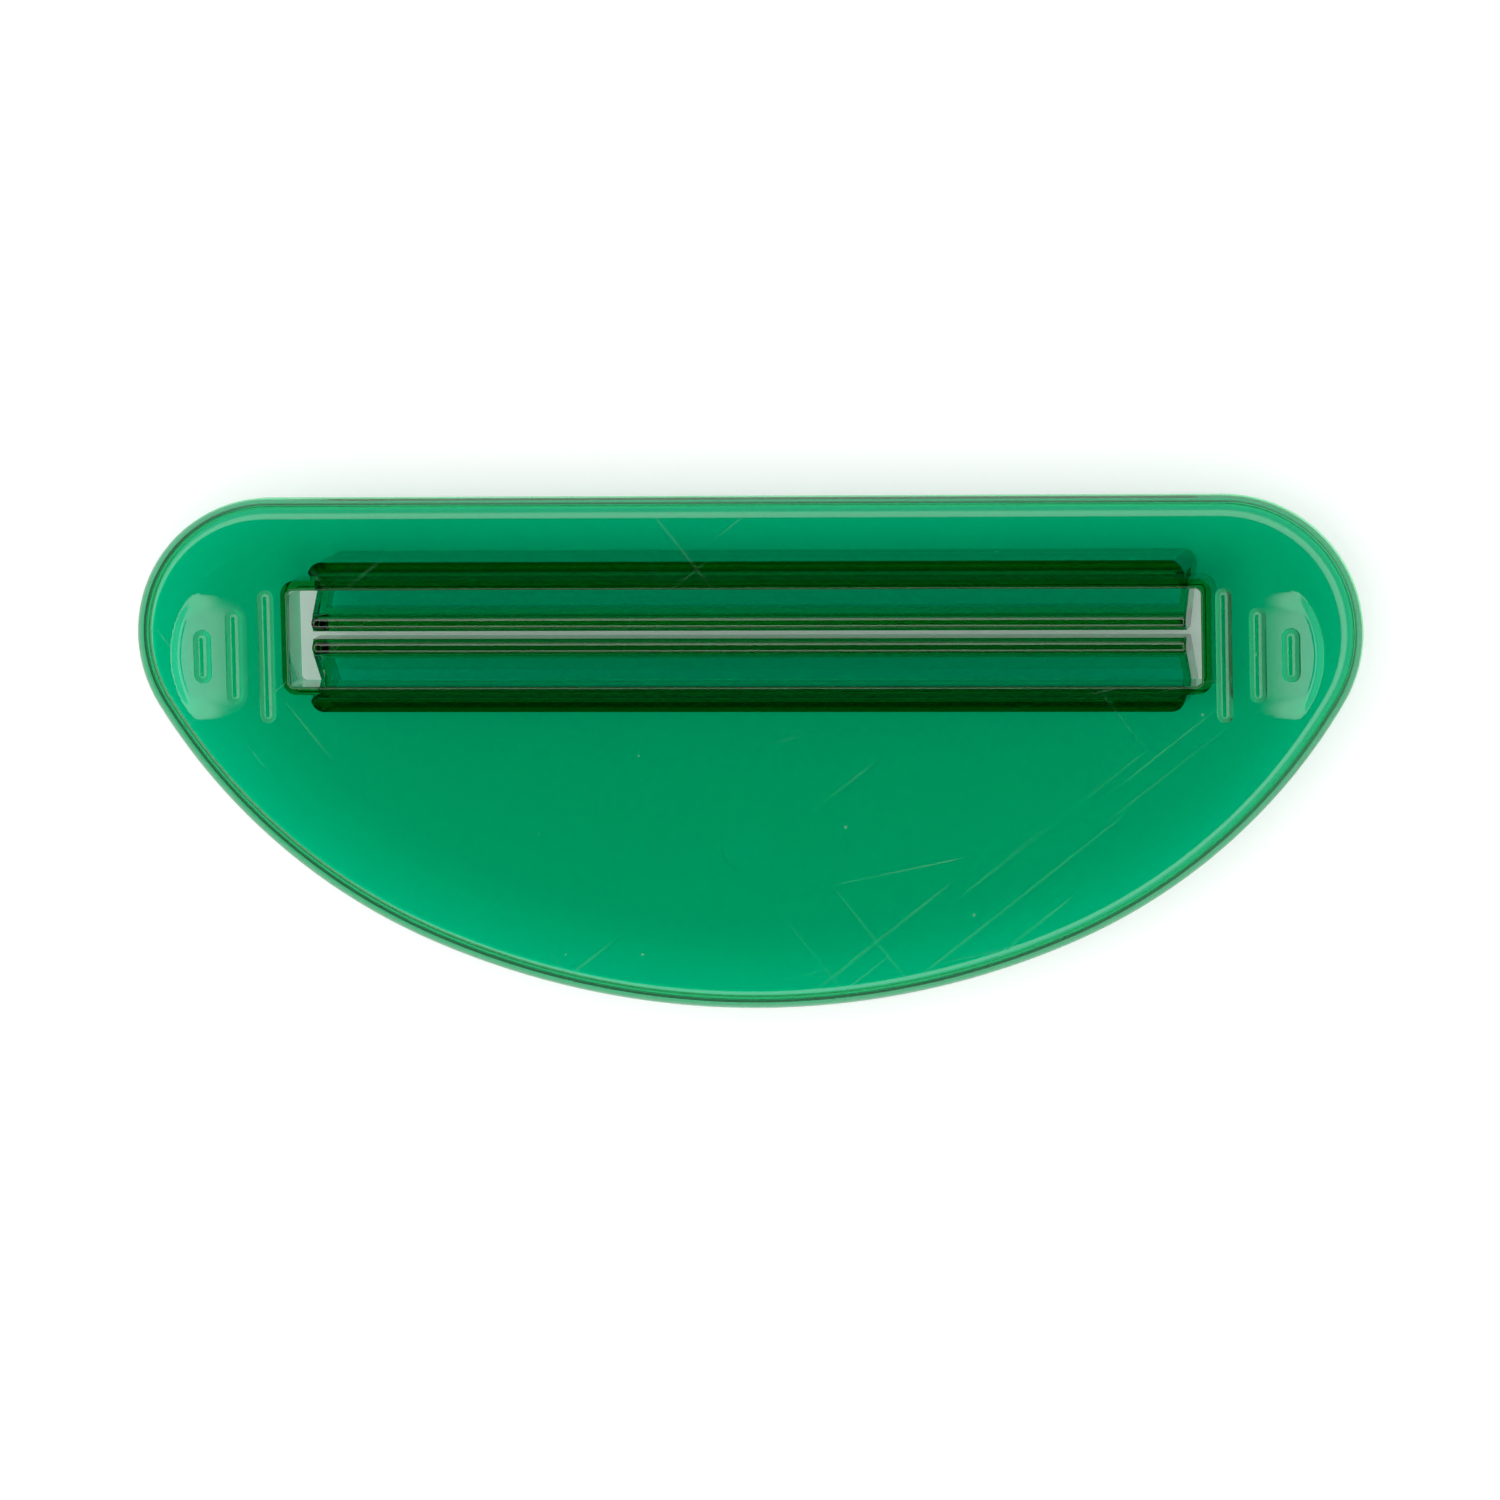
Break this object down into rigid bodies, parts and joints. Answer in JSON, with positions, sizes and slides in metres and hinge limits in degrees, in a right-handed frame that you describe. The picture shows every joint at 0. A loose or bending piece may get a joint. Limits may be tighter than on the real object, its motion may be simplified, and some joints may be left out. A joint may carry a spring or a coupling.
{
  "type": "toothpaste tube squeezer",
  "caption": "Half-moon hand plate with a long slot and two rocking jaws behind it, which press a flattened tube as the plate is pulled along it.",
  "frame": {"origin": "under the middle of the plate, at the level of the jaws' feet that it lies on", "axes": "+X along the plate, +Y towards its flat edge, +Z out of its face"},
  "size_m": [0.1142, 0.0476, 0.0127],
  "materials": {
    "plate_green": "polished, translucent green",
    "upper_jaw_green": "polished, translucent green",
    "lower_jaw_green": "polished, translucent green"
  },
  "bodies": {
    "plate": {"front_plate": "plate_green"},
    "upper_jaw": {"upper_jaw": "upper_jaw_green"},
    "lower_jaw": {"lower_jaw": "lower_jaw_green"}
  },
  "joints": [
    {"name": "upper_jaw_hinge", "type": "hinge", "parent": "plate", "child": "upper_jaw", "pos_m": [0, 0.01685, 0.01017], "axis": [1, 0, 0], "range_deg": [0, 8], "stiffness_Nm_per_rad": 0.02},
    {"name": "lower_jaw_hinge", "type": "hinge", "parent": "plate", "child": "lower_jaw", "pos_m": [0, 0.00481, 0.01017], "axis": [-1, 0, 0], "range_deg": [0, 8], "stiffness_Nm_per_rad": 0.02}
  ]
}
